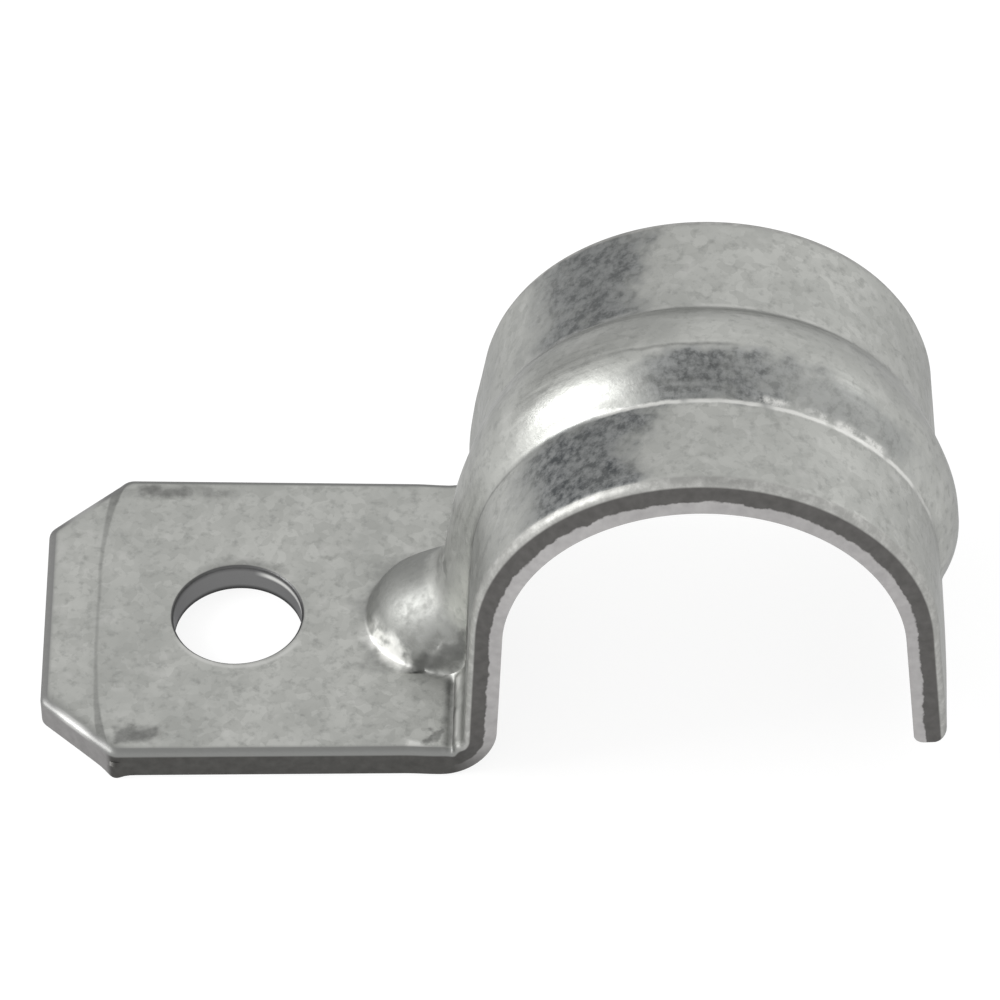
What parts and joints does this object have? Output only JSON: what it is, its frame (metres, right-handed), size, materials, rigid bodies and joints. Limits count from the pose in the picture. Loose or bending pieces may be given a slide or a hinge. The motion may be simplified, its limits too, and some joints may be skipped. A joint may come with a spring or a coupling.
{
  "type": "conduit strap",
  "caption": "Pressed steel conduit strap with a single screw foot, half-round saddle and stiffening bead.",
  "frame": {"origin": "on the screw hole's axis in the wall plane, which is the foot's underside", "axes": "+Z off the wall along the screw hole; +Y along the conduit; +X from the screw towards the saddle"},
  "size_m": [0.0501, 0.02, 0.0242],
  "materials": {
    "galvanised_steel": "zinc-galvanised sheet steel, semi-matt, faintly spangled, bare sheared edges"
  },
  "bodies": {
    "root": {"conduit_strap": "galvanised_steel"}
  },
  "joints": []
}
